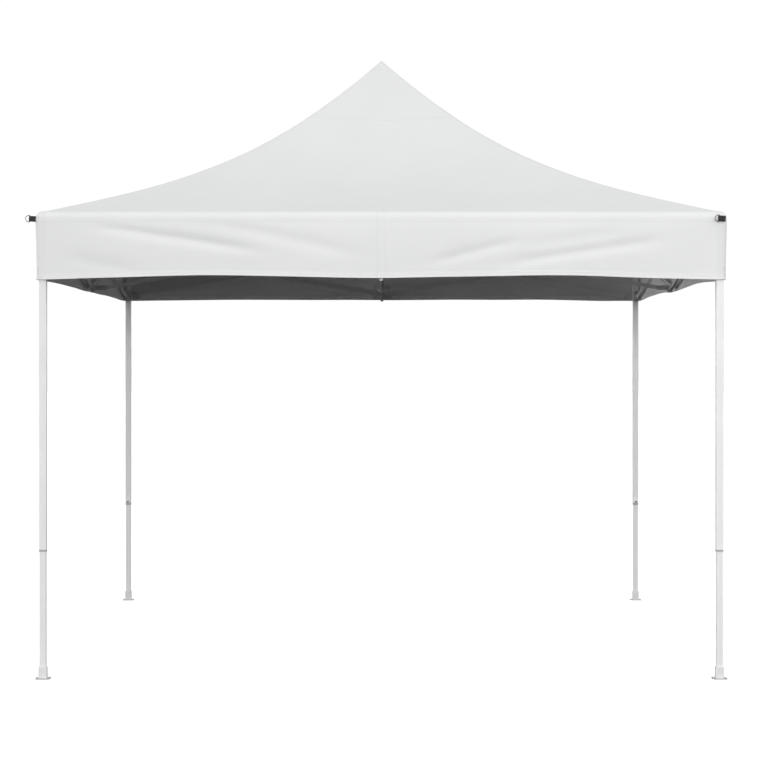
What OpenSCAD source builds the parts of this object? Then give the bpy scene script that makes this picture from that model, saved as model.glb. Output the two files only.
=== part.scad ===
// Pop up canopy: a square peaked roof on four telescopic legs, carried by a folding frame
// of crossed bars. Millimetres, +Z up. The origin is on the ground under the peak and the
// front faces -Y. The frame stands spread, the legs drawn out.
// Everything repeats four times about the middle: side 0 is the front, 1 the right,
// 2 the back and 3 the left, and leg 0 stands at the right end of side 0.

/* [Overall size] */
// Width of the square roof at its eaves
canopy_w = 3000; // [2400:20:3700]
// Height of the eaves above the ground with the legs drawn out
eave_h = 2033; // [1650:1:2500]
// Rise of the roof from its eaves to its peak
peak_rise = 887; // [700:1:1100]
// Depth of the valance that hangs from the eaves
valance_h = 292; // [240:1:360]

/* [Legs] */
// Side of the square outer leg tube
leg_tube = 32; // [26:0.5:40]
// Wall of both leg tubes
leg_wall = 1.2; // [0.8:0.1:2]
// Length of the inner leg that stays inside the outer one
leg_overlap = 200; // [150:10:260]
// Side of the square foot plate
foot_plate = 64; // [52:1:80]
// Thickness of the foot plate
foot_t = 4; // [3:0.5:6]
// Diameter of each stake hole
stake_d = 10; // [8:0.5:12]

/* [Folding bars] */
// Depth of a bar
bar_h = 20; // [16:0.5:24]
// Thickness of a bar
bar_t = 10; // [8:0.5:12]
// Wall of a bar
bar_wall = 1; // [0.8:0.1:1.5]
// Drop from the upper bar pivots to the lower ones with the frame spread
bar_drop = 244; // [200:1:300]
// Slope of the bars with the frame folded, in degrees
fold_angle = 88.5; // [86:0.5:89]
// Diameter of the pivot pins
pin_d = 8; // [6:0.5:10]
// Diameter of the rivet where two bars cross
rivet_d = 6; // [5:0.5:8]
// Radial clearance of a pin in its bar
pin_gap = 0.05; // [0.02:0.01:0.1]

/* [Hubs] */
// From a leg's axis to the pivots on its brackets
leg_arm = 55; // [48:1:70]
// From the middle of a side to the pivots of the side bars
mid_arm = 45; // [36:1:56]
// From the middle of the canopy to the pivots of the inner bars
hub_arm = 32; // [30:1:40]
// Thickness of the ears on each side of a bar end
ear_t = 3; // [2:0.5:4]

/* [Mast] */
// Diameter of the mast tube
mast_d = 22; // [18:1:26]
// Wall of the mast tube
mast_wall = 2.2; // [1.5:0.1:2.4]
// Length of the post that the mast slides on
post_len = 750; // [600:10:900]

/* [Roof] */
// Half width of the separate panel at the peak
peak_panel = 370; // [300:5:450]
// Sag of each roof face between its ridges
roof_sag = 30; // [10:1:45]
// How strongly the ridges curve, 1 is straight
roof_curve = 1.75; // [1.2:0.05:2]
// How much the ridges straighten out towards the eaves
eave_lift = 0.45; // [0:0.05:0.6]
// Thickness of the cloth as a solid
cloth_t = 1.5; // [1:0.1:2]

/* [Hidden] */
$fn = 48;
FRAME_WHITE = [0.93, 0.93, 0.92];
HUB_GREY = [0.86, 0.86, 0.85];
BUTTON_GREY = [0.70, 0.70, 0.70];
CLOTH_WHITE = [0.96, 0.96, 0.95];

half_w = canopy_w / 2;
side_w = half_w - leg_tube / 2 - 8;      // middle of the canopy to the leg axes
z_top = eave_h - 27;                     // upper bar pivots
z_low = z_top - bar_drop;                // lower bar pivots
mid_in = leg_arm + mid_arm - hub_arm;    // side to the inner bar's pivot, so that all bars are as long
span = side_w - leg_arm - mid_arm;       // a bar's run on plan
bar_l = sqrt(span * span + bar_drop * bar_drop);
bar_slope = atan2(bar_drop, span);
z_fold = z_top - bar_l * sin(fold_angle);  // lower pivots once folded

inner_tube = leg_tube - 4;
sleeve = leg_tube / 2 + 5;               // half width of the brackets round a leg
slide_gap = 0.15;
slider_down = 22;
slider_up = 38;
collar_h = 27;
z_collar = z_fold - slider_down - 1 - collar_h;  // lower end of the outer leg
foot_h = 52;
peak_z = eave_h + peak_rise;
gap = 1;                                 // half the space between two crossed bars
ear_in = gap - 0.1;                      // inner ear's face towards the bar
ear_out = gap + bar_t + 0.1;             // outer ear's face towards the bar
ear_r = bar_h / 2 + 1;
hub_tail = 14;                           // how far a lower hub hangs below its ears
head_r = rivet_d / 2 + 3;
mast_bot = z_low + 58;
nose_r = 38;

// Helpers

module turned(k) rotate([0, 0, 90 * k]) children();
module at_leg(k) turned(k) translate([side_w, -side_w, 0]) children();

// Box centred on plan with round upright edges
module post(w, d, z0, z1, r) {
    translate([-w / 2 + r, -d / 2, z0]) cube([w - 2 * r, d, z1 - z0]);
    translate([-w / 2, -d / 2 + r, z0]) cube([w, d - 2 * r, z1 - z0]);
    for (i = [-1, 1], j = [-1, 1])
        translate([i * (w / 2 - r), j * (d / 2 - r), z0]) cylinder(r = r, h = z1 - z0);
}

// Cylinder along X from x0 to x1, and along Y from y0 to y1
module rod_x(x0, x1, r) translate([x0, 0, 0]) rotate([0, 90, 0]) cylinder(r = r, h = x1 - x0);
module rod_y(y0, y1, r) translate([0, y1, 0]) rotate([90, 0, 0]) cylinder(r = r, h = y1 - y0);

// Bar along +X from its first pivot at the origin, between y = 0 and bar_t
module bar_blank(mid_r) {
    difference() {
        union() {
            translate([0, 0, -bar_h / 2]) cube([bar_l, bar_t, bar_h]);
            rod_y(0, bar_t, bar_h / 2);
            translate([bar_l, 0, 0]) rod_y(0, bar_t, bar_h / 2);
        }
        difference() {
            translate([bar_h * 0.9, bar_wall, -bar_h / 2 + bar_wall])
                cube([bar_l - bar_h * 1.8, bar_t - 2 * bar_wall, bar_h - 2 * bar_wall]);
            translate([bar_l / 2, 0, 0]) rod_y(0, bar_t, bar_h * 0.36);
        }
        rod_y(-1, bar_t + 1, pin_d / 2 + pin_gap);
        translate([bar_l, 0, 0]) rod_y(-1, bar_t + 1, pin_d / 2 + pin_gap);
        if (mid_r > 0) translate([bar_l / 2, 0, 0]) rod_y(-1, bar_t + 1, mid_r);
    }
}

// Bar that carries the rivet: it lies at y = -gap and below, the other bar at gap and above
module bar_with_rivet() {
    translate([0, -gap - bar_t, 0]) bar_blank(0);
    translate([bar_l / 2, 0, 0]) {
        rod_y(-gap - bar_t - 2, -gap - bar_t, head_r);
        rod_y(-gap, gap - 0.1, head_r + 1);
        rod_y(-gap - bar_t / 2, gap + bar_t + 0.1, rivet_d / 2);
        rod_y(gap + bar_t + 0.1, gap + bar_t + 2.1, head_r);
    }
}

module bar_with_hole() translate([0, gap, 0]) bar_blank(rivet_d / 2 + pin_gap);

// Two ears and a pin for a bar end, the arm along +X with its root at x = root and its
// pin at x = arm. The bar lies on the s side of the middle plane y = 0
module clevis(root, arm, s) {
    for (y = [s * ear_in - (s > 0 ? ear_t : 0), s * ear_out - (s > 0 ? 0 : ear_t)]) {
        translate([root, y, -ear_r]) cube([arm - root, ear_t, 2 * ear_r]);
        translate([arm, 0, 0]) rod_y(y, y + ear_t, ear_r);
    }
    translate([arm, 0, 0]) rod_y(s > 0 ? ear_in - ear_t : -ear_out - ear_t,
        s > 0 ? ear_out + ear_t : ear_t - ear_in, pin_d / 2);
    // pin head
    translate([arm, 0, 0]) rod_y(s > 0 ? ear_out + ear_t : -ear_out - ear_t - 1.5,
        s > 0 ? ear_out + ear_t + 1.5 : -ear_out - ear_t, pin_d / 2 + 1.5);
}

// Side 0's bars. The side plane is y = -side_w, outward is -Y
module on_side(h, z) translate([h * mid_arm, -side_w, z]) mirror([h < 0 ? 1 : 0, 0, 0]) children();
// From the middle of the side, top, down to the slider
module side_bar_a(h) on_side(h, z_top) rotate([0, bar_slope, 0]) bar_with_rivet();
// From the middle of the side, bottom, up to the top of the leg
module side_bar_b(h) on_side(h, z_low) rotate([0, -bar_slope, 0]) bar_with_hole();

// Side 0's inner bars, from the middle of the canopy along -Y
module on_inner(z) translate([0, -hub_arm, z]) rotate([0, 0, -90]) children();
// From the centre, top, down to the side's lower hub
module inner_bar_a() on_inner(z_top) rotate([0, bar_slope, 0]) bar_with_rivet();
// From the centre, bottom, up to the side's upper hub
module inner_bar_b() on_inner(z_low) rotate([0, -bar_slope, 0]) bar_with_hole();

module centre_hub(s, z, bore) {
    translate([0, 0, z]) difference() {
        union() {
            post(38, 38, -ear_r, ear_r, 4);
            for (k = [0:3]) rotate([0, 0, 90 * k - 90]) clevis(16, hub_arm, s);
        }
        translate([0, 0, -ear_r - 1]) cylinder(d = bore, h = 2 * ear_r + 20);
    }
}

module centre_upper_hub_shape() {
    centre_hub(-1, z_top, mast_d + 0.2);
    // guide collar for the mast
    translate([0, 0, z_top + ear_r - 0.5]) difference() {
        cylinder(d = mast_d + 9, h = 15);
        translate([0, 0, -1]) cylinder(d = mast_d + 0.2, h = 17);
    }
}

// Lower hub with the post that the mast slides on
module centre_lower_hub_shape() {
    post_d = mast_d - 2 * mast_wall - 1.6;
    centre_hub(1, z_low, post_d - 1);
    translate([0, 0, z_low - ear_r - 10]) cylinder(d1 = 24, d2 = 36, h = 10.5);
    difference() {
        translate([0, 0, z_low - 8]) cylinder(d = post_d, h = post_len);
        translate([0, 0, z_low - 4]) cylinder(d = post_d - 3, h = post_len);
    }
    // guide ring at the top of the post
    translate([0, 0, z_low - 8 + post_len - 25]) difference() {
        cylinder(d = mast_d - 2 * mast_wall - 0.2, h = 25);
        translate([0, 0, -1]) cylinder(d = post_d - 3, h = 27);
    }
}

module mast_shape() {
    difference() {
        translate([0, 0, mast_bot]) cylinder(d = mast_d, h = peak_z - 54 - mast_bot);
        translate([0, 0, mast_bot - 1]) cylinder(d = mast_d - 2 * mast_wall, h = peak_z - 70 - mast_bot);
    }
    // blunt nose that carries the cloth
    translate([0, 0, peak_z]) rotate_extrude() polygon([
        [0, -70], [mast_d / 2 + 4, -70], [mast_d / 2 + 4, -58], [nose_r, -52], [nose_r, -46],
        [nose_r - 6, -38], [8, -14], [0, -9]]);
}

module mid_upper_hub() {
    translate([0, -side_w, z_top]) {
        clevis(0, mid_arm, -1);
        mirror([1, 0, 0]) clevis(0, mid_arm, -1);
        translate([-8, -ear_out - ear_t, -ear_r]) cube([16, ear_out + ear_t + ear_out + ear_t + 5, 2 * ear_r]);
        translate([-8, ear_out, -ear_r]) cube([8 + ear_out + ear_t, ear_t + 5, 2 * ear_r]);
        rotate([0, 0, 90]) clevis(ear_out + 2, mid_in, -1);
    }
}

module mid_lower_hub() {
    translate([0, -side_w, z_low]) {
        clevis(0, mid_arm, 1);
        mirror([1, 0, 0]) clevis(0, mid_arm, 1);
        translate([-8, -ear_t - gap, -ear_r - hub_tail]) cube([16, ear_t + gap + ear_out + ear_t + 5, 2 * ear_r + hub_tail]);
        translate([-ear_out - ear_t, ear_out, -ear_r]) cube([8 + ear_out + ear_t, ear_t + 5, 2 * ear_r]);
        rotate([0, 0, 90]) clevis(ear_out + 2, mid_in, 1);
    }
}

// Leg parts, drawn for leg 0 with its axis on the Z axis. Side 0's bars come along -X and
// side 1's along +Y

// Housing and button on a face, the button pointing along +X
module housing(face) difference() {
    translate([face - 1, -11, -11]) cube([13, 22, 22]);
    rod_x(face + 1.5, face + 13, 7.1);
}
module button(face) {
    rod_x(face + 6, face + 15, 7);
    rod_x(face + 15, face + 16, 6);
}
// Turns +X to the leg's inward face: -X on odd legs and +Y on even ones
module inward(odd) rotate([0, 0, odd == 1 ? 180 : 90]) children();

module outer_leg(odd) {
    difference() {
        union() {
            post(leg_tube, leg_tube, z_collar, z_top + 10, 3);
            // top bracket
            post(2 * sleeve, 2 * sleeve, z_top - 26, z_top + 12, 8);
            translate([0, 0, z_top]) {
                rotate([0, 0, 180]) clevis(sleeve - 2, leg_arm, -1);
                rotate([0, 0, 90]) clevis(sleeve - 2, leg_arm, 1);
            }
            // lip of the plastic bush at the lower end
            post(leg_tube + 1.6, leg_tube + 1.6, z_collar - 3, z_collar + 1, 3);
            translate([0, 0, z_collar + collar_h / 2]) inward(odd) housing(leg_tube / 2);
        }
        // bore of the tube, and of the bush that guides the inner leg
        post(leg_tube - 2 * leg_wall, leg_tube - 2 * leg_wall, z_collar + collar_h, z_top - 30, 1.8);
        post(inner_tube + 0.2, inner_tube + 0.2, z_collar - 10, z_collar + collar_h + 1, 2.6);
    }
}

module inner_leg() {
    z1 = z_collar + leg_overlap;
    difference() {
        post(inner_tube, inner_tube, foot_t, z1 - 10, 2.5);
        post(inner_tube - 2 * leg_wall, inner_tube - 2 * leg_wall, foot_t + 2, z1 - 14, 1.3);
    }
    // guide plug at the top
    post(leg_tube - 2 * leg_wall - 0.2, leg_tube - 2 * leg_wall - 0.2, z1 - 10, z1, 1.8);
    // foot
    post(inner_tube + 8, inner_tube + 8, foot_t - 1, foot_h, 4);
    difference() {
        post(foot_plate, foot_plate, 0, foot_t, 8);
        for (s = [-1, 1])
            translate([s * (foot_plate / 2 - 8), -s * (foot_plate / 2 - 8), -1])
                cylinder(d = stake_d, h = foot_t + 2);
    }
}

module slider() translate([0, 0, z_low]) {
    difference() {
        union() {
            post(2 * sleeve, 2 * sleeve, -slider_down, slider_up, 4);
            rotate([0, 0, 180]) clevis(sleeve - 2, leg_arm, 1);
            rotate([0, 0, 90]) clevis(sleeve - 2, leg_arm, -1);
            translate([0, 0, ear_r + 14]) rotate([0, 0, 180]) housing(sleeve);
        }
        post(leg_tube + 2 * slide_gap, leg_tube + 2 * slide_gap, -slider_down - 5, slider_up + 5, 2.8);
    }
}

module leg_button(odd) translate([0, 0, z_collar + collar_h / 2]) inward(odd) button(leg_tube / 2);
module slider_button() translate([0, 0, z_low + ear_r + 14]) rotate([0, 0, 180]) button(sleeve);

// Cloth. w is the distance from the middle towards a side, t runs from -1 to 1 between
// the two ridges
function ridge_rise(u, k) = (1 - k) * pow(u, roof_curve) + k * u * u / (u + 0.02);
function roof_z(w, t) =
    let (s = w / half_w)
    eave_h + peak_rise * ridge_rise(max(0, 1 - s), 0.08 + eave_lift * s * s)
    - roof_sag * (1 - t * t) * 4 * s * (1 - s);

function quad(a, b, c, d) = [[a, b, c], [a, c, d]];
function joined(lists) = [for (l = lists) for (x = l) x];

module roof_gore() {
    rows = 12;
    cols = 12;
    drop = [0.02, 0.5, 1];
    w0 = peak_panel + 1;
    ws = [for (i = [0:rows]) w0 + (half_w - w0) * i / rows];
    ts = [for (j = [0:cols]) -1 + 2 * j / cols];
    n = rows + len(drop);
    outer = joined([
        for (w = ws) [for (t = ts) [t * (w - 1), -w, roof_z(w, t)]],
        for (d = drop) [for (t = ts) [t * (half_w - 3), -half_w, eave_h - valance_h * d]]]);
    inner = joined([
        for (i = [0:rows]) [for (t = ts) i < rows
            ? [t * (ws[i] - 1), -ws[i], roof_z(ws[i], t) - cloth_t]
            : [t * (half_w - 3), -half_w + cloth_t, eave_h - cloth_t]],
        for (d = drop) [for (t = ts) [t * (half_w - 3), -half_w + cloth_t, eave_h - cloth_t - (valance_h - cloth_t) * d]]]);
    m = cols + 1;
    q = len(outer);
    faces = joined([
        for (i = [0:n - 1], j = [0:cols - 1])
            quad(i * m + j, i * m + j + 1, (i + 1) * m + j + 1, (i + 1) * m + j),
        for (i = [0:n - 1], j = [0:cols - 1])
            quad(q + i * m + j, q + (i + 1) * m + j, q + (i + 1) * m + j + 1, q + i * m + j + 1),
        for (j = [0:cols - 1]) quad(j, q + j, q + j + 1, j + 1),
        for (j = [0:cols - 1]) quad(n * m + j, n * m + j + 1, q + n * m + j + 1, q + n * m + j),
        for (i = [0:n - 1]) quad(i * m, (i + 1) * m, q + (i + 1) * m, q + i * m),
        for (i = [0:n - 1]) quad(i * m + cols, q + i * m + cols, q + (i + 1) * m + cols, (i + 1) * m + cols)]);
    polyhedron(points = concat(outer, inner), faces = faces);
}

module roof_peak_shape() {
    rows = 5;
    cols = 8;
    ws = [for (i = [1:rows]) (peak_panel - 0.5) * i / rows];
    m = 4 * cols;
    function spot(w, j, dz) =
        let (k = floor(j / cols), t = -1 + 2 * (j % cols) / cols, z = roof_z(w, t) - dz)
        k == 0 ? [t * w, -w, z] : k == 1 ? [w, t * w, z] : k == 2 ? [-t * w, w, z] : [-w, -t * w, z];
    outer = joined([for (w = ws) [for (j = [0:m - 1]) spot(w, j, 0)]]);
    inner = joined([for (w = ws) [for (j = [0:m - 1]) spot(w, j, cloth_t)]]);
    q = len(outer);
    top = 2 * q;
    faces = joined([
        for (i = [0:rows - 2], j = [0:m - 1]) let (e = (j + 1) % m)
            quad(i * m + j, i * m + e, (i + 1) * m + e, (i + 1) * m + j),
        for (i = [0:rows - 2], j = [0:m - 1]) let (e = (j + 1) % m)
            quad(q + i * m + j, q + (i + 1) * m + j, q + (i + 1) * m + e, q + i * m + e),
        for (j = [0:m - 1]) let (e = (j + 1) % m, b = (rows - 1) * m)
            quad(b + j, b + e, q + b + e, q + b + j),
        for (j = [0:m - 1]) let (e = (j + 1) % m) [[top, e, j], [top + 1, q + j, q + e]]]);
    polyhedron(points = concat(outer, inner, [[0, 0, peak_z], [0, 0, peak_z - cloth_t]]), faces = faces);
}

// Sub-parts

module centre_upper_hub() color(HUB_GREY) centre_upper_hub_shape();
module centre_lower_hub() color(HUB_GREY) centre_lower_hub_shape();
module mast() color(FRAME_WHITE) mast_shape();
module roof_peak() color(CLOTH_WHITE) roof_peak_shape();
module inner_bar_a_front() color(FRAME_WHITE) turned(0) inner_bar_a();
module inner_bar_b_front() color(FRAME_WHITE) turned(0) inner_bar_b();
module inner_bar_a_right() color(FRAME_WHITE) turned(1) inner_bar_a();
module inner_bar_b_right() color(FRAME_WHITE) turned(1) inner_bar_b();
module inner_bar_a_back() color(FRAME_WHITE) turned(2) inner_bar_a();
module inner_bar_b_back() color(FRAME_WHITE) turned(2) inner_bar_b();
module inner_bar_a_left() color(FRAME_WHITE) turned(3) inner_bar_a();
module inner_bar_b_left() color(FRAME_WHITE) turned(3) inner_bar_b();
module mid_upper_hub_front() color(HUB_GREY) turned(0) mid_upper_hub();
module mid_lower_hub_front() color(HUB_GREY) turned(0) mid_lower_hub();
module mid_upper_hub_right() color(HUB_GREY) turned(1) mid_upper_hub();
module mid_lower_hub_right() color(HUB_GREY) turned(1) mid_lower_hub();
module mid_upper_hub_back() color(HUB_GREY) turned(2) mid_upper_hub();
module mid_lower_hub_back() color(HUB_GREY) turned(2) mid_lower_hub();
module mid_upper_hub_left() color(HUB_GREY) turned(3) mid_upper_hub();
module mid_lower_hub_left() color(HUB_GREY) turned(3) mid_lower_hub();
module side_bar_a_front_right() color(FRAME_WHITE) turned(0) side_bar_a(1);
module side_bar_b_front_right() color(FRAME_WHITE) turned(0) side_bar_b(1);
module side_bar_a_front_left() color(FRAME_WHITE) turned(0) side_bar_a(-1);
module side_bar_b_front_left() color(FRAME_WHITE) turned(0) side_bar_b(-1);
module side_bar_a_right_right() color(FRAME_WHITE) turned(1) side_bar_a(1);
module side_bar_b_right_right() color(FRAME_WHITE) turned(1) side_bar_b(1);
module side_bar_a_right_left() color(FRAME_WHITE) turned(1) side_bar_a(-1);
module side_bar_b_right_left() color(FRAME_WHITE) turned(1) side_bar_b(-1);
module side_bar_a_back_right() color(FRAME_WHITE) turned(2) side_bar_a(1);
module side_bar_b_back_right() color(FRAME_WHITE) turned(2) side_bar_b(1);
module side_bar_a_back_left() color(FRAME_WHITE) turned(2) side_bar_a(-1);
module side_bar_b_back_left() color(FRAME_WHITE) turned(2) side_bar_b(-1);
module side_bar_a_left_right() color(FRAME_WHITE) turned(3) side_bar_a(1);
module side_bar_b_left_right() color(FRAME_WHITE) turned(3) side_bar_b(1);
module side_bar_a_left_left() color(FRAME_WHITE) turned(3) side_bar_a(-1);
module side_bar_b_left_left() color(FRAME_WHITE) turned(3) side_bar_b(-1);
module outer_leg_front_right() color(FRAME_WHITE) at_leg(0) outer_leg(0);
module inner_leg_front_right() color(FRAME_WHITE) at_leg(0) inner_leg();
module slider_front_right() color(HUB_GREY) at_leg(0) slider();
module leg_button_front_right() color(BUTTON_GREY) at_leg(0) leg_button(0);
module slider_button_front_right() color(BUTTON_GREY) at_leg(0) slider_button();
module outer_leg_back_right() color(FRAME_WHITE) at_leg(1) outer_leg(1);
module inner_leg_back_right() color(FRAME_WHITE) at_leg(1) inner_leg();
module slider_back_right() color(HUB_GREY) at_leg(1) slider();
module leg_button_back_right() color(BUTTON_GREY) at_leg(1) leg_button(1);
module slider_button_back_right() color(BUTTON_GREY) at_leg(1) slider_button();
module outer_leg_back_left() color(FRAME_WHITE) at_leg(2) outer_leg(0);
module inner_leg_back_left() color(FRAME_WHITE) at_leg(2) inner_leg();
module slider_back_left() color(HUB_GREY) at_leg(2) slider();
module leg_button_back_left() color(BUTTON_GREY) at_leg(2) leg_button(0);
module slider_button_back_left() color(BUTTON_GREY) at_leg(2) slider_button();
module outer_leg_front_left() color(FRAME_WHITE) at_leg(3) outer_leg(1);
module inner_leg_front_left() color(FRAME_WHITE) at_leg(3) inner_leg();
module slider_front_left() color(HUB_GREY) at_leg(3) slider();
module leg_button_front_left() color(BUTTON_GREY) at_leg(3) leg_button(1);
module slider_button_front_left() color(BUTTON_GREY) at_leg(3) slider_button();
module roof_front() color(CLOTH_WHITE) turned(0) roof_gore();
module roof_right() color(CLOTH_WHITE) turned(1) roof_gore();
module roof_back() color(CLOTH_WHITE) turned(2) roof_gore();
module roof_left() color(CLOTH_WHITE) turned(3) roof_gore();

centre_upper_hub();
centre_lower_hub();
mast();
roof_peak();
inner_bar_a_front();
inner_bar_b_front();
inner_bar_a_right();
inner_bar_b_right();
inner_bar_a_back();
inner_bar_b_back();
inner_bar_a_left();
inner_bar_b_left();
mid_upper_hub_front();
mid_lower_hub_front();
mid_upper_hub_right();
mid_lower_hub_right();
mid_upper_hub_back();
mid_lower_hub_back();
mid_upper_hub_left();
mid_lower_hub_left();
side_bar_a_front_right();
side_bar_b_front_right();
side_bar_a_front_left();
side_bar_b_front_left();
side_bar_a_right_right();
side_bar_b_right_right();
side_bar_a_right_left();
side_bar_b_right_left();
side_bar_a_back_right();
side_bar_b_back_right();
side_bar_a_back_left();
side_bar_b_back_left();
side_bar_a_left_right();
side_bar_b_left_right();
side_bar_a_left_left();
side_bar_b_left_left();
outer_leg_front_right();
inner_leg_front_right();
slider_front_right();
leg_button_front_right();
slider_button_front_right();
outer_leg_back_right();
inner_leg_back_right();
slider_back_right();
leg_button_back_right();
slider_button_back_right();
outer_leg_back_left();
inner_leg_back_left();
slider_back_left();
leg_button_back_left();
slider_button_back_left();
outer_leg_front_left();
inner_leg_front_left();
slider_front_left();
leg_button_front_left();
slider_button_front_left();
roof_front();
roof_right();
roof_back();
roof_left();
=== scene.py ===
import math

import bmesh
import bpy
from mathutils import Matrix, Vector, noise


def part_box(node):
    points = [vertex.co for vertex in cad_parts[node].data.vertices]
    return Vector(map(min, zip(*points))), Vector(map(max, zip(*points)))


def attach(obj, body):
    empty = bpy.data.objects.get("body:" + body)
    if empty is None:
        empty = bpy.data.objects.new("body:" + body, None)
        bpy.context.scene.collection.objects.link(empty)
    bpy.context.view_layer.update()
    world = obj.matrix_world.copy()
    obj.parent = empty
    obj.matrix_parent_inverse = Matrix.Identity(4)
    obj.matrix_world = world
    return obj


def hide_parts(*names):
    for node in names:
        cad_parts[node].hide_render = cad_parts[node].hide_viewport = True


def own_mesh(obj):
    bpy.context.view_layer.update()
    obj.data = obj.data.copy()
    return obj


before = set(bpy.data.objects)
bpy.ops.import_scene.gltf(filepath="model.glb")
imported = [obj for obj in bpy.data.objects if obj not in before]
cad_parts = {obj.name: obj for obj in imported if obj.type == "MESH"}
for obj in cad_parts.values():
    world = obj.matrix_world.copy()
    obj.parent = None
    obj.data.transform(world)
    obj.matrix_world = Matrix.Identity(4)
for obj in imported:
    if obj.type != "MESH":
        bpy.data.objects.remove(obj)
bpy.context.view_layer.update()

# Pop up canopy: the cloth roof, its valance and the rings at its corners are made here, and
# the frame's own parts get their finishes. Metres, +Z up, the front faces -Y.

SIDES = ("front", "right", "back", "left")

# Sizes taken from the frame
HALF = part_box("roof_right")[1].x          # middle of the canopy to the eaves
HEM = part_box("roof_front")[0].z           # lower edge of the valance
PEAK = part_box("roof_peak")[1].z           # tip of the roof
VALANCE_DEPTH = 0.292                     # from the eave to the hem
EAVE = HEM + VALANCE_DEPTH

# The cloth lies a little outside the frame
PROUD = 0.008
ROUND = 0.035                             # rounding over the eave and round the corners
EDGE = HALF + PROUD - ROUND               # middle of the rounding
EAVE_TOP = EAVE + PROUD
LEAN = math.radians(15)                   # slope of the roof where it meets the rounding
ROOF_EDGE = EDGE + ROUND * math.sin(LEAN)
ROOF_FOOT = EAVE_TOP - ROUND * (1 - math.cos(LEAN))
RISE = PEAK - ROOF_FOOT
CURVE = 1.75                              # how strongly the roof flattens towards the eaves
SAG = 0.030                               # of a roof face between its ridges
PANEL = 0.370                             # half width of the separate panel at the peak
JOIN = 0.600                              # where the hanging part of a roof face begins
TIP = 0.060                               # half width of the cap at the peak
CLOTH = 0.0011                            # thickness
THREADS = 0.0016                          # two threads of the weave
STITCH = 0.0042                           # one stitch and its gap
BAND = 0.0175                             # half width of the band sewn down a valance's middle
FELLED = 0.0010                           # height of a felled or lapped seam of the roof
STEP = 0.003                              # width over which a seam's edge rises

# ---------------------------------------------------------------- finishes

SHARP = 0.0002                            # width of the edge between two finishes


def new_material(name):
    """An empty material with its shader, and the node tree that holds it"""
    material = bpy.data.materials.new(name)
    material.use_nodes = True
    tree = material.node_tree
    shader = tree.nodes["Principled BSDF"]
    return material, tree, shader


def node(tree, kind, **settings):
    """A new node with the settings given"""
    made = tree.nodes.new(kind)
    for key, value in settings.items():
        setattr(made, key, value)
    return made


def sums(tree, operation, a, b=None, c=None):
    """One step of arithmetic on sockets or numbers"""
    step = node(tree, "ShaderNodeMath", operation=operation)
    for socket, value in zip(step.inputs, (a, b, c)):
        if value is None:
            continue
        if isinstance(value, (int, float)):
            socket.default_value = value
        else:
            tree.links.new(value, socket)
    return step.outputs[0]


def grain(tree, vector, scale, detail, rough):
    """Noise of that many features to the metre"""
    speckle = node(tree, "ShaderNodeTexNoise")
    speckle.inputs["Scale"].default_value = scale
    speckle.inputs["Detail"].default_value = detail
    speckle.inputs["Roughness"].default_value = rough
    tree.links.new(vector, speckle.inputs["Vector"])
    return speckle.outputs["Fac"]


def spread(tree, value, low, high, to_low, to_high):
    """Maps a value from one range to another and stops at its ends"""
    ranged = node(tree, "ShaderNodeMapRange")
    ranged.inputs["From Min"].default_value = low
    ranged.inputs["From Max"].default_value = high
    ranged.inputs["To Min"].default_value = to_low
    ranged.inputs["To Max"].default_value = to_high
    tree.links.new(value, ranged.inputs["Value"])
    return ranged.outputs["Result"]


def blend_colours(tree, share, first, second):
    """The first colour where share is 0 and the second where it is 1"""
    mixed = node(tree, "ShaderNodeMix", data_type="RGBA")
    for socket, colour in ((mixed.inputs[6], first), (mixed.inputs[7], second)):
        if isinstance(colour, tuple):
            socket.default_value = (*colour, 1)
        else:
            tree.links.new(colour, socket)
    tree.links.new(share, mixed.inputs[0])
    return mixed.outputs[2]


def raise_surface(tree, shader, height, strength, distance, below=None):
    """Adds relief to the shader, over the relief below"""
    bump = node(tree, "ShaderNodeBump")
    bump.inputs["Strength"].default_value = strength
    bump.inputs["Distance"].default_value = distance
    tree.links.new(height, bump.inputs["Height"])
    if below is not None:
        tree.links.new(below, bump.inputs["Normal"])
    tree.links.new(bump.outputs["Normal"], shader.inputs["Normal"])
    return bump.outputs["Normal"]


def line_at(tree, distance, centre, width):
    """1 on a sewn line at that distance, falling to 0 at its edges"""
    off = sums(tree, "ABSOLUTE", sums(tree, "SUBTRACT", distance, centre))
    return spread(tree, off, width * 0.35, width, 1.0, 0.0)


def stitches(tree, along):
    """1 on a stitch and 0 in the gap after it"""
    wave = sums(tree, "SINE", sums(tree, "MULTIPLY", along, math.tau / STITCH))
    return spread(tree, wave, -0.55, -0.15, 0.0, 1.0)


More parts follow.
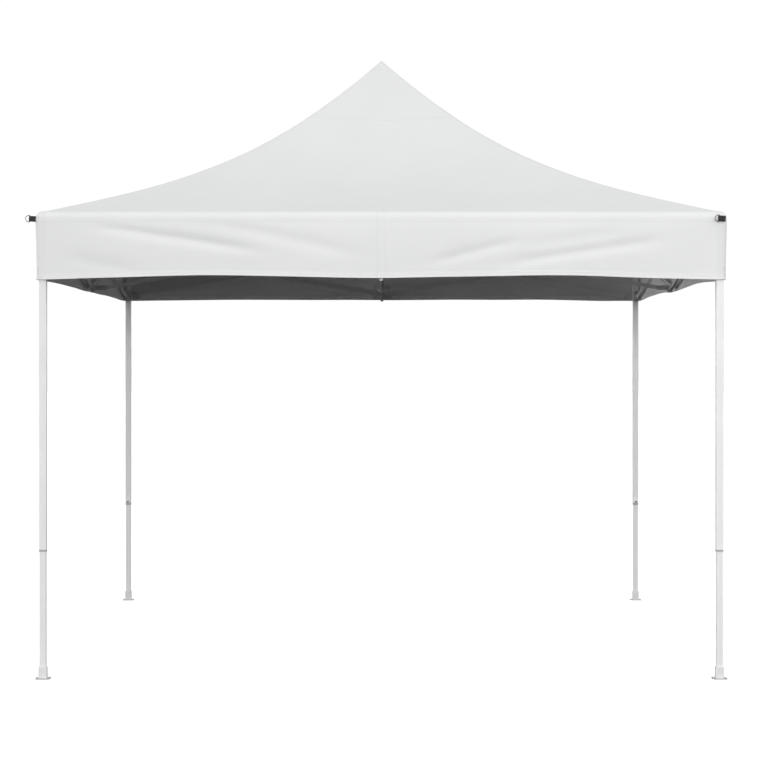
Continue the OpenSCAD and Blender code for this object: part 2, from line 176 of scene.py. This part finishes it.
def polyester(name, seams):
    """White coated polyester: plain weave, faint mottling and rows of stitches. seams(tree,
    across, down) gives each sewn row as a distance, its run, and where the distance is."""
    material, tree, shader = new_material(name)
    cut = node(tree, "ShaderNodeUVMap", uv_map="cut")
    parts = node(tree, "ShaderNodeSeparateXYZ")
    tree.links.new(cut.outputs["UV"], parts.inputs["Vector"])
    across, down = parts.outputs["X"], parts.outputs["Y"]

    warp = sums(tree, "SINE", sums(tree, "MULTIPLY", across, math.tau / THREADS))
    weft = sums(tree, "SINE", sums(tree, "MULTIPLY", down, math.tau / THREADS))
    weave = sums(tree, "MULTIPLY_ADD", sums(tree, "MULTIPLY", warp, weft), 0.5, 0.5)

    mottle = grain(tree, cut.outputs["UV"], 2.2, 5.0, 0.6)
    slub = grain(tree, cut.outputs["UV"], 160.0, 2.0, 0.5)
    puckers = grain(tree, cut.outputs["UV"], 16.0, 4.0, 0.55)

    rows = None
    for distance, run, centre in seams(tree, across, down):
        thread = line_at(tree, distance, centre, 0.0012)
        row = sums(tree, "MULTIPLY", thread, stitches(tree, run))
        rows = row if rows is None else sums(tree, "MAXIMUM", rows, row)

    cloth = blend_colours(tree, spread(tree, mottle, 0.3, 0.7, 0.0, 1.0),
                          (0.845, 0.848, 0.850), (0.880, 0.882, 0.882))
    cloth = blend_colours(tree, spread(tree, slub, 0.35, 0.75, 0.0, 0.30),
                          cloth, (0.90, 0.90, 0.90))
    cloth = blend_colours(tree, sums(tree, "MULTIPLY", rows, 0.55), cloth, (0.70, 0.70, 0.69))
    tree.links.new(cloth, shader.inputs["Base Color"])
    tree.links.new(spread(tree, slub, 0.3, 0.7, 0.56, 0.68), shader.inputs["Roughness"])
    shader.inputs["Specular IOR Level"].default_value = 0.35
    shader.inputs["Sheen Weight"].default_value = 0.08
    shader.inputs["Sheen Roughness"].default_value = 0.5

    woven = raise_surface(tree, shader, weave, 0.25, 0.00012)
    puckered = raise_surface(tree, shader, puckers, 0.10, 0.004, woven)
    raise_surface(tree, shader, rows, 0.6, 0.0006, puckered)
    return material


def roof_seams(tree, across, down):
    """Two rows beside each ridge, and two along the lower edge of the panel at the peak"""
    ridge = sums(tree, "SUBTRACT", down, sums(tree, "ABSOLUTE", across))
    ring = sums(tree, "SUBTRACT", down, PANEL)
    return [(ridge, down, 0.003), (ridge, down, 0.012),
            (ring, across, -0.003), (ring, across, -0.012)]


def valance_seams(tree, across, down):
    """Two rows over the hem, one under the eave, one on each edge of the band in the middle
    and two beside each corner"""
    side = sums(tree, "ABSOLUTE", across)
    return [(down, across, HEM_ROWS[0]), (down, across, HEM_ROWS[1]), (down, across, 0.060),
            (side, down, BAND), (side, down, EDGE - 0.001), (side, down, EDGE - 0.010)]


def powder_coat(name, nylon=None, plate=None, bush=None):
    """White powder-coated tube with a faint orange peel. Between the two heights in nylon it
    is moulded nylon, under plate bare zinc-coated sheet, and under bush grey nylon."""
    material, tree, shader = new_material(name)
    place = node(tree, "ShaderNodeTexCoord").outputs["Object"]
    parts = node(tree, "ShaderNodeSeparateXYZ")
    tree.links.new(place, parts.inputs["Vector"])
    height = parts.outputs["Z"]
    peel = grain(tree, place, 420.0, 2.0, 0.5)
    dust = grain(tree, place, 7.0, 5.0, 0.62)
    scuff = grain(tree, place, 55.0, 6.0, 0.7)

    paint = blend_colours(tree, spread(tree, dust, 0.35, 0.7, 0.0, 1.0),
                          (0.88, 0.88, 0.875), (0.93, 0.93, 0.925))
    paint = blend_colours(tree, spread(tree, scuff, 0.66, 0.74, 0.0, 0.35),
                          paint, (0.66, 0.66, 0.65))
    rough = spread(tree, scuff, 0.3, 0.75, 0.34, 0.50)
    if nylon is not None:
        low, high = nylon
        mould = sums(tree, "MULTIPLY", spread(tree, height, low - SHARP, low, 0.0, 1.0),
                     spread(tree, height, high, high + SHARP, 1.0, 0.0))
        plastic = blend_colours(tree, spread(tree, dust, 0.35, 0.7, 0.0, 1.0),
                                (0.82, 0.82, 0.81), (0.88, 0.88, 0.87))
        paint = blend_colours(tree, mould, paint, plastic)
        rough = sums(tree, "MULTIPLY_ADD", mould, 0.12, rough)
    if bush is not None:
        grey = blend_colours(tree, spread(tree, dust, 0.35, 0.7, 0.0, 1.0),
                             (0.40, 0.40, 0.38), (0.46, 0.46, 0.44))
        lower_end = spread(tree, height, bush, bush + 2 * SHARP, 1.0, 0.0)
        paint = blend_colours(tree, lower_end, paint, grey)
    if plate is not None:
        zinc = spread(tree, height, plate, plate + SHARP, 1.0, 0.0)
        steel = blend_colours(tree, spread(tree, scuff, 0.35, 0.7, 0.0, 1.0),
                              (0.52, 0.53, 0.53), (0.68, 0.68, 0.67))
        paint = blend_colours(tree, zinc, paint, steel)
        tree.links.new(sums(tree, "MULTIPLY", zinc, 0.7), shader.inputs["Metallic"])
    tree.links.new(paint, shader.inputs["Base Color"])
    tree.links.new(rough, shader.inputs["Roughness"])
    shader.inputs["Specular IOR Level"].default_value = 0.5
    shader.inputs["Coat Weight"].default_value = 0.12
    shader.inputs["Coat Roughness"].default_value = 0.25
    raise_surface(tree, shader, peel, 0.12, 0.0003)
    return material


def moulded_nylon(name, pale, deep):
    """Satin moulded nylon with a fine grain, a little paler where it is worn"""
    material, tree, shader = new_material(name)
    place = node(tree, "ShaderNodeTexCoord").outputs["Object"]
    dust = grain(tree, place, 14.0, 5.0, 0.6)
    fine = grain(tree, place, 1500.0, 2.0, 0.5)
    worn = grain(tree, place, 90.0, 5.0, 0.7)
    colour = blend_colours(tree, spread(tree, dust, 0.32, 0.7, 0.0, 1.0), deep, pale)
    colour = blend_colours(tree, spread(tree, worn, 0.62, 0.74, 0.0, 0.25),
                           colour, (0.80, 0.80, 0.79))
    tree.links.new(colour, shader.inputs["Base Color"])
    tree.links.new(spread(tree, worn, 0.3, 0.7, 0.42, 0.58), shader.inputs["Roughness"])
    shader.inputs["Specular IOR Level"].default_value = 0.45
    raise_surface(tree, shader, fine, 0.15, 0.0002)
    return material


def webbing_weave(name):
    """Black polyester webbing with ribs across it"""
    material, tree, shader = new_material(name)
    cut = node(tree, "ShaderNodeUVMap", uv_map="cut")
    parts = node(tree, "ShaderNodeSeparateXYZ")
    tree.links.new(cut.outputs["UV"], parts.inputs["Vector"])
    ribs = sums(tree, "SINE", sums(tree, "MULTIPLY", parts.outputs["Y"], math.tau / 0.0022))
    cords = sums(tree, "SINE", sums(tree, "MULTIPLY", parts.outputs["X"], math.tau / 0.0031))
    weave = sums(tree, "MULTIPLY_ADD", sums(tree, "MULTIPLY", ribs, cords), 0.5, 0.5)
    fuzz = grain(tree, cut.outputs["UV"], 900.0, 3.0, 0.6)
    # The weave's hollows are painted a little darker than its ribs: painted shade
    colour = blend_colours(tree, weave, (0.010, 0.010, 0.011), (0.028, 0.028, 0.030))
    colour = blend_colours(tree, spread(tree, fuzz, 0.5, 0.8, 0.0, 0.5),
                           colour, (0.05, 0.05, 0.05))
    tree.links.new(colour, shader.inputs["Base Color"])
    tree.links.new(spread(tree, fuzz, 0.3, 0.7, 0.62, 0.80), shader.inputs["Roughness"])
    shader.inputs["Sheen Weight"].default_value = 0.2
    raise_surface(tree, shader, weave, 0.5, 0.0005)
    return material


def plated_wire(name):
    """Dull nickel-plated steel wire"""
    material, tree, shader = new_material(name)
    place = node(tree, "ShaderNodeTexCoord").outputs["Object"]
    draw = grain(tree, place, 260.0, 4.0, 0.6)
    pits = grain(tree, place, 900.0, 2.0, 0.5)
    colour = blend_colours(tree, spread(tree, draw, 0.3, 0.7, 0.0, 1.0),
                           (0.16, 0.16, 0.165), (0.30, 0.30, 0.30))
    tree.links.new(colour, shader.inputs["Base Color"])
    tree.links.new(spread(tree, draw, 0.3, 0.7, 0.22, 0.42), shader.inputs["Roughness"])
    shader.inputs["Metallic"].default_value = 1.0
    raise_surface(tree, shader, pits, 0.1, 0.0002)
    return material


# ---------------------------------------------------------------- cloth shapes


def turned(k):
    """Turns a shape made for the front to side k"""
    return Matrix.Rotation(math.radians(90 * k), 4, "Z")


def roof_height(across, out):
    """Height of the roof over a point of the front face, out from the middle of the canopy.
    The ridges are rounded over, as cloth is pulled over them."""
    side = min(abs(across), out)
    ridge = 0.008 + 0.026 * min(1.0, out / 0.6)
    far = 0.5 * (out + side + math.hypot(out - side, ridge))
    s = min(1.0, far / ROOF_EDGE)
    u = 1 - s
    t = side / max(out, 1e-6)
    straight = 0.08 + 0.45 * s * s        # the ridges straighten out towards the eaves
    rise = (1 - straight) * u ** CURVE + straight * u
    return ROOF_FOOT + RISE * rise - SAG * (1 - t * t) * 4 * s * u


def easy(x):
    """0 to 1 with soft ends"""
    x = min(1.0, max(0.0, x))
    return x * x * (3 - 2 * x)


def cloth_grid(name, columns, rows, place, k, cut_at):
    """A sheet of cloth: a flat grid whose points place(column, row) lays out for the front,
    turned to side k. Its map holds cut_at(column, row), measures of the cut in metres."""
    bm = bmesh.new()
    nx, ny = len(columns) - 1, len(rows) - 1
    bmesh.ops.create_grid(bm, x_segments=nx, y_segments=ny, size=1)
    cut = bm.loops.layers.uv.new("cut")
    marks = {}
    for v in bm.verts:
        i = round((v.co.x + 1) / 2 * nx)
        j = round((v.co.y + 1) / 2 * ny)
        marks[v] = (i, j)
    for face in bm.faces:
        for loop in face.loops:
            i, j = marks[loop.vert]
            loop[cut].uv = cut_at(columns[i], rows[j])
    for v, (i, j) in marks.items():
        v.co = place(columns[i], rows[j])
    for face in bm.faces:
        face.smooth = True
    for edge in bm.edges:
        edge.smooth = not edge.is_boundary
    bm.transform(turned(k))
    return finished(name, bm)


def finished(name, bm):
    """The piece's object, at the origin, from its mesh"""
    mesh = bpy.data.meshes.new(name)
    bm.normal_update()
    bm.to_mesh(mesh)
    bm.free()
    piece = bpy.data.objects.new(name, mesh)
    bpy.context.scene.collection.objects.link(piece)
    return piece


def thickened(piece):
    """Gives a sheet of cloth its thickness, inwards from the face that shows"""
    wall = piece.modifiers.new("thickness", "SOLIDIFY")
    wall.thickness = CLOTH
    wall.offset = -1
    wall.use_even_offset = False
    return piece


# Columns of a roof face as shares of its half width, closer together towards the ridges
COLUMNS = [math.sin(math.pi / 2 * (j / 48 - 1)) for j in range(97)]
WEDGES = (0, 29, 40, 48, 56, 67, 96)      # columns where the wedges of a face meet


def roof_point(t, out):
    """A point of the front roof face, with its felled seams and its soft unevenness"""
    across = t * out
    z = roof_height(across, out)
    from_ridge = out - abs(across)
    felled = FELLED * (1 - easy((from_ridge - 0.013) / STEP))
    lapped = FELLED * (1 - easy((out - PANEL) / STEP))
    quiet = easy(from_ridge / 0.25) * easy((ROOF_EDGE - out) / 0.25) * easy(out / 0.35)
    soft = 0.006 * noise.noise(Vector((across * 1.1 + 7.3, out * 0.9, 2.1))) * quiet
    return Vector((across, -out, z + felled + lapped + soft))


def roof_cut(t, out):
    """A point of a roof face on its map"""
    return (t * out, out)


def steps(start, end, count):
    """The ends of count equal steps from start to end"""
    return [start + (end - start) * i / count for i in range(count + 1)]


def make_roof_face(k, side):
    """The lower part of a roof face, from the eave inwards. It drops as the frame folds."""
    rows = steps(ROOF_EDGE, JOIN, 46)
    face = cloth_grid("roof_cloth_" + side, COLUMNS, rows, roof_point, k, roof_cut)
    return thickened(face)


def make_peak_gusset(k, side, n, first, last):
    """A wedge of the roof face near the peak"""
    rows = [*steps(JOIN, PANEL + 0.012, 10), PANEL + 0.005, PANEL + 0.002, PANEL, PANEL - 0.002,
            *steps(PANEL - 0.010, 0.14, 10), 0.12, 0.10, 0.08, TIP]
    name = "peak_cloth_%s_%d" % (side, n + 1)
    wedge = cloth_grid(name, COLUMNS[first:last + 1], rows, roof_point, k, roof_cut)
    return thickened(wedge)


def make_tip():
    """The cap of cloth over the end of the mast"""
    bm = bmesh.new()
    bmesh.ops.create_grid(bm, x_segments=24, y_segments=24, size=TIP)
    cut = bm.loops.layers.uv.new("cut")
    for face in bm.faces:
        face.smooth = True
        for loop in face.loops:
            x, y = loop.vert.co.x, loop.vert.co.y
            loop[cut].uv = (min(abs(x), abs(y)), max(abs(x), abs(y)))
    for v in bm.verts:
        x, y = abs(v.co.x), abs(v.co.y)
        v.co.z = roof_point(min(x, y) / max(x, y, 1e-6), max(x, y)).z
    return thickened(finished("peak_cap", bm))


# Soft creases of each valance, pulled from the corners towards the middle of the hem: where a
# crease starts and ends, across and under the eave, its half width and its depth
CREASES = {
    "front": [(-1.20, 0.085, -0.60, 0.185, 0.022, 0.0085),
              (-0.70, 0.070, -0.15, 0.195, 0.030, 0.0050),
              (0.60, 0.245, 1.16, 0.150, 0.024, 0.0070),
              (0.24, 0.240, 0.56, 0.155, 0.022, 0.0055),
              (0.66, 0.170, 1.02, 0.110, 0.030, 0.0035),
              (-1.46, 0.200, -1.10, 0.275, 0.030, 0.0045)],
    "right": [(-1.15, 0.110, -0.55, 0.200, 0.026, 0.0070),
              (0.30, 0.225, 0.95, 0.130, 0.026, 0.0060),
              (-0.30, 0.120, 0.05, 0.220, 0.028, 0.0040)],
    "back": [(-1.10, 0.120, -0.45, 0.215, 0.024, 0.0065),
             (0.35, 0.230, 1.05, 0.115, 0.026, 0.0070),
             (-0.20, 0.100, 0.20, 0.190, 0.030, 0.0035)],
    "left": [(-1.05, 0.100, -0.50, 0.210, 0.026, 0.0060),
             (0.45, 0.220, 1.10, 0.120, 0.024, 0.0070),
             (0.00, 0.110, 0.35, 0.205, 0.028, 0.0040)],
}
# How far each hem rises between the corners and the middle
LIFTS = {"front": 0.013, "right": 0.010, "back": 0.006, "left": 0.004}
DROP = EAVE_TOP - ROUND - HEM             # straight part of the valance
TURN = ROUND * (math.pi / 2 - LEAN)       # arc over the eave
HEM_ROWS = (TURN + DROP - 0.022, TURN + DROP - 0.004)    # its two sewn rows


def crease(across, down, x0, d0, x1, d1, half_width, depth):
    """How far a crease draws the cloth in at a point"""
    run = Vector((x1 - x0, d1 - d0))
    to = Vector((across - x0, down - d0))
    u = to.dot(run) / run.length_squared
    off = abs(to.x * run.y - to.y * run.x) / run.length
    fade = easy((u + 0.25) / 0.45) * easy((1.25 - u) / 0.45)
    return depth * fade * math.exp(-(off / half_width) ** 2)


def hem_lift(side, across):
    """The hem hangs a little higher between the corners and the middle"""
    s = across / EDGE
    arches = math.sin(math.pi * min(1.0, abs(s))) ** 1.5
    lift = LIFTS[side] * arches + 0.45 * LIFTS[side] * (1 - s * s)
    wave = 0.0045 * noise.noise(Vector((across * 2.3, 5.0 + SIDES.index(side), 0.4)))
    return lift + wave * easy((1 - abs(s)) / 0.15)


def valance_point(side, along, down):
    """A point of a front valance. along runs from one corner seam to the other, past EDGE it
    goes round the corner. down starts where the roof ends, and past TURN it hangs."""
    corner = max(0.0, abs(along) - EDGE)
    angle = corner / ROUND
    sign = math.copysign(1.0, along)
    across = max(-EDGE, min(EDGE, along))
    outward = Vector((sign * math.sin(angle), -math.cos(angle), 0))
    over = LEAN + min(down, TURN) / ROUND
    hang = max(0.0, down - TURN)
    share = hang / DROP
    fall = hang - share * hem_lift(side, across)
    free = easy((EDGE - abs(across) - 0.03) / 0.20)          # 0 at the legs, 1 away from them
    belly = 0.004 * free * math.sin(math.pi * min(1.0, 0.15 + share * 0.85))
    taper = -0.006 * share
    ripple = 0.0050 * noise.noise(Vector((across * 1.7, down * 2.5, 9.0 + SIDES.index(side))))
    drawn = sum(crease(across, down, *c) for c in CREASES[side])
    band = 0.0008 * (1 - easy((abs(across) - 0.018) / STEP))
    corner_seam = 0.0009 * easy((abs(along) - EDGE + 0.012) / STEP)
    roll = 0.0012 * easy((down - HEM_ROWS[0]) / STEP) + 0.0022 * easy((share - 0.955) / 0.045)
    push = (belly + taper + ripple * free * share - drawn * free) * easy(hang / 0.05)
    push += (band + corner_seam) * easy(down / 0.01) + roll
    radius = ROUND * math.sin(over) + push
    z = EAVE_TOP - ROUND + ROUND * math.cos(over) - fall
    return Vector((across, -EDGE, z)) + outward * radius


def make_valance(k, side):
    """The valance with the rounding over its eave, from one corner seam to the next"""
    end = ROUND * math.pi / 4
    arc = [EDGE + end * i / 5 for i in range(1, 6)]
    half = [0.006, BAND - 0.001, BAND + 0.001, 0.022, *steps(0.032, EDGE - 0.024, 64),
            EDGE - 0.016, EDGE - 0.012, EDGE - 0.009, EDGE - 0.004, EDGE, *arc]
    columns = [*(-a for a in reversed(half)), 0.0, *half]
    rows = [*steps(TURN + DROP, TURN + DROP - 0.018, 5), HEM_ROWS[0] + 0.0015, HEM_ROWS[0],
            *steps(HEM_ROWS[0] - 0.006, TURN + 0.002, 26), *steps(TURN, 0.0, 9)]
    piece = cloth_grid("valance_" + side, columns, rows,
                       lambda along, down: valance_point(side, along, down), k,
                       lambda along, down: (along, down))
    return thickened(piece)


# ---------------------------------------------------------------- rings at the corners


def make_ring_tab(name, seam, way, tilt):
    """A folded loop of black webbing sewn into the corner seam, and the D ring that it holds.
    seam is where it leaves the seam, way the direction it lies in, tilt how far it droops."""
    lie = way.normalized()
    up = Vector((0, 0, 1))
    drop = Matrix.Rotation(tilt, 4, lie.cross(up))
    lie = (drop @ lie).normalized()
    upright = (drop @ up).normalized()
    flat = lie.cross(upright)
    wide, reach, bend = 0.0245, 0.031, 0.0026
    tucked = 0.004                        # length inside the seam
    bar = reach - tucked

    # the webbing runs out, round the straight bar of the ring and back
    path = [(x * reach / 6 - tucked, bend) for x in range(7)]
    path += [(bar + bend * math.sin(a), bend * math.cos(a))
             for a in (math.pi * i / 8 for i in range(1, 8))]
    path += [(bar - x * reach / 6, -bend) for x in range(7)]
    bm = bmesh.new()
    bmesh.ops.create_grid(bm, x_segments=6, y_segments=len(path) - 1, size=1)
    cut = bm.loops.layers.uv.new("cut")
    for face in bm.faces:
        face.smooth = True
        for loop in face.loops:
            loop[cut].uv = (loop.vert.co.x * wide / 2, (loop.vert.co.y + 1) * reach)
    for v in bm.verts:
        out, off = path[round((v.co.y + 1) / 2 * (len(path) - 1))]
        v.co = seam + lie * out + flat * off + upright * (v.co.x * wide / 2)
    tab = finished(name + "_webbing", bm)
    wall = tab.modifiers.new("thickness", "SOLIDIFY")
    wall.thickness = 0.0013
    wall.offset = 0
    tab.data.materials.append(WEBBING)

    # the ring: wire bent round, its bar side drawn in flat where it lies in the webbing
    wire, radius, longer = 0.0016, 0.0150, 1.15
    centre = seam + lie * bar
    upended = Matrix.Translation((radius, 0, 0)) @ Matrix.Rotation(math.pi / 2, 4, "X")
    bm = bmesh.new()
    bmesh.ops.create_circle(bm, segments=12, radius=wire, matrix=upended)
    bmesh.ops.spin(bm, geom=bm.edges[:], cent=(0, 0, 0), axis=(0, 0, 1), dvec=(0, 0, 0),
                   angle=math.tau, steps=40, use_merge=True)
    for v in bm.verts:
        middle = Vector((v.co.x, v.co.y, 0)).normalized() * radius
        if middle.x < 0:
            v.co.x -= middle.x * 0.85
    for face in bm.faces:
        face.smooth = True
    seat = Matrix((lie * longer, upright, flat)).transposed().to_4x4()
    bm.transform(Matrix.Translation(centre) @ seat)
    bmesh.ops.recalc_face_normals(bm, faces=bm.faces)
    ring = finished(name + "_ring", bm)
    ring.data.materials.append(WIRE)
    return tab, ring


# ---------------------------------------------------------------- finishes of the frame

BUSH = 0.007                              # height of the bush's grey lip
BRACKET = 0.038                           # height of the bracket at the top of a leg
FOOT = 0.052                              # height of the foot's sleeve
PLATE = 0.004                             # thickness of the foot's plate
NOSE = 0.071                              # from the tip of the roof to the lower end of the nose
leg_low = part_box("outer_leg_front_right")[0].z
leg_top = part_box("outer_leg_front_right")[1].z

COAT = powder_coat("white_powder_coat")
LEG_COAT = powder_coat("leg_coat_and_brackets", nylon=(leg_top - BRACKET, PEAK),
                       bush=leg_low + BUSH)
FOOT_COAT = powder_coat("inner_leg_coat_and_foot", nylon=(PLATE, FOOT), plate=PLATE)
MAST_COAT = powder_coat("mast_coat_and_nose", nylon=(PEAK - NOSE, PEAK))
NYLON = moulded_nylon("hub_nylon", (0.74, 0.74, 0.73), (0.66, 0.66, 0.65))
BUTTON = moulded_nylon("button_nylon", (0.42, 0.42, 0.42), (0.34, 0.34, 0.34))
WEBBING = webbing_weave("black_webbing")
WIRE = plated_wire("plated_wire")
ROOF = polyester("roof_polyester", roof_seams)
VALANCE = polyester("valance_polyester", valance_seams)


def finish_of(name):
    """The finish of one of the frame's own parts"""
    if name.startswith("outer_leg"):
        return LEG_COAT
    if name.startswith("inner_leg"):
        return FOOT_COAT
    if name == "mast":
        return MAST_COAT
    if "button" in name:
        return BUTTON
    if "hub" in name or name.startswith("slider"):
        return NYLON
    return COAT


for name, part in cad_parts.items():
    if name.startswith("roof_"):
        continue
    part.data.materials.clear()
    part.data.materials.append(finish_of(name))

# ---------------------------------------------------------------- the cloth is fitted


cap = make_tip()
cap.data.materials.append(ROOF)
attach(cap, "mast")
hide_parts("roof_peak")

for k, side in enumerate(SIDES):
    roof = make_roof_face(k, side)
    roof.data.materials.append(ROOF)
    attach(roof, "roof_" + side)
    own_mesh(roof)
    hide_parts("roof_" + side)

    valance = make_valance(k, side)
    valance.data.materials.append(VALANCE)
    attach(valance, "mid_upper_hub_" + side)
    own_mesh(valance)

    for n, (first, last) in enumerate(zip(WEDGES, WEDGES[1:])):
        wedge = make_peak_gusset(k, side, n, first, last)
        wedge.data.materials.append(ROOF)
        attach(wedge, "mast")
        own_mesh(wedge)

# Rings for guy lines, one in each corner seam. Two stand out sideways and two lie along the
# front and the back
REACH = HALF + PROUD
DROOP = math.radians(3)
seam_z = EAVE_TOP - 0.036
for corner, seam, way in (
        ("front_left", (-REACH + 0.002, -EDGE - 0.012, seam_z), (-1, -0.10, 0)),
        ("back_right", (REACH - 0.002, EDGE + 0.012, seam_z), (1, 0.10, 0)),
        ("front_right", (EDGE + 0.020, -REACH - 0.004, seam_z), (-1, -0.22, 0)),
        ("back_left", (-EDGE - 0.020, REACH + 0.004, seam_z), (1, 0.22, 0))):
    for piece in make_ring_tab("guy_" + corner, Vector(seam), Vector(way), DROOP):
        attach(piece, "outer_leg_" + corner)

# ---------------------------------------------------------------- floor, light and camera

# The floor is bright enough to hide the canopy's shadow, and throws no light back at it
bm = bmesh.new()
bmesh.ops.create_grid(bm, x_segments=4, y_segments=4, size=90)
floor = finished("floor", bm)
paper, tree, shader = new_material("studio_floor")
place = node(tree, "ShaderNodeTexCoord").outputs["Object"]
pale = blend_colours(tree, grain(tree, place, 0.6, 2.0, 0.5),
                     (0.90, 0.90, 0.90), (0.93, 0.93, 0.93))
tree.links.new(pale, shader.inputs["Base Color"])
shader.inputs["Roughness"].default_value = 0.9
shader.inputs["Specular IOR Level"].default_value = 0.1
shader.inputs["Emission Color"].default_value = (1, 1, 1, 1)
shader.inputs["Emission Strength"].default_value = 0.62
floor.data.materials.append(paper)
floor.visible_diffuse = False
floor.visible_glossy = False

# The backdrop is white to the camera alone. The canopy is lit by a studio that is brightest
# just over the horizon; under it there is light only at the left and, weaker, at the right.
world = bpy.data.worlds.new("studio")
bpy.context.scene.world = world
world.use_nodes = True
tree = world.node_tree
backdrop = tree.nodes["Background"]
backdrop.inputs["Color"].default_value = (1, 1, 1, 1)
backdrop.inputs["Strength"].default_value = 1.02
room = node(tree, "ShaderNodeBackground")
parts = node(tree, "ShaderNodeSeparateXYZ")
tree.links.new(node(tree, "ShaderNodeTexCoord").outputs["Generated"], parts.inputs["Vector"])
height = parts.outputs["Z"]
above = blend_colours(tree, spread(tree, height, 0.10, 0.17, 0.0, 1.0),
                      (2.1, 2.1, 2.1), (0.86, 0.86, 0.865))
above = blend_colours(tree, spread(tree, height, 0.20, 0.60, 0.0, 1.0), above, (0.64, 0.645, 0.65))
low = spread(tree, height, -0.42, -0.20, 0.0, 1.0)
from_left = sums(tree, "MULTIPLY", spread(tree, parts.outputs["X"], -0.90, -0.60, 1.0, 0.0), low)
from_right = sums(tree, "MULTIPLY", spread(tree, parts.outputs["X"], 0.60, 0.90, 0.0, 1.0), low)
below = blend_colours(tree, from_left, (0.018, 0.018, 0.019), (2.7, 2.7, 2.7))
below = blend_colours(tree, from_right, below, (0.62, 0.62, 0.62))
room_light = blend_colours(tree, spread(tree, height, -0.02, 0.02, 0.0, 1.0), below, above)
tree.links.new(room_light, room.inputs["Color"])
seen = node(tree, "ShaderNodeLightPath")
either = node(tree, "ShaderNodeMixShader")
tree.links.new(seen.outputs["Is Camera Ray"], either.inputs[0])
tree.links.new(room.outputs["Background"], either.inputs[1])
tree.links.new(backdrop.outputs["Background"], either.inputs[2])
tree.links.new(either.outputs["Shader"], tree.nodes["World Output"].inputs["Surface"])


def soft_light(name, place, aim, size, power):
    """A square lamp that shines from place towards aim"""
    lamp = bpy.data.lights.new(name, "AREA")
    lamp.shape = "SQUARE"
    lamp.size = size
    lamp.energy = power
    light = bpy.data.objects.new(name, lamp)
    bpy.context.scene.collection.objects.link(light)
    light.location = place
    light.rotation_euler = (Vector(aim) - Vector(place)).to_track_quat("-Z", "Y").to_euler()
    light.visible_camera = False


soft_light("key", (3.5, -9.5, 5.5), (0, 0, 1.9), 4.0, 110)
soft_light("front_fill", (0.8, -10.5, 2.35), (0, 0, 1.7), 1.0, 210)

camera = bpy.data.cameras.new("camera")
camera.lens = 94.9
camera.sensor_width = 36
camera.shift_y = -0.026
camera.clip_end = 300
eye = bpy.data.objects.new("camera", camera)
bpy.context.scene.collection.objects.link(eye)
eye.location = (0.012, -10.312, 1.373)
eye.rotation_euler = (math.radians(90), 0, 0)
bpy.context.scene.camera = eye
bpy.context.scene.view_settings.view_transform = "Standard"
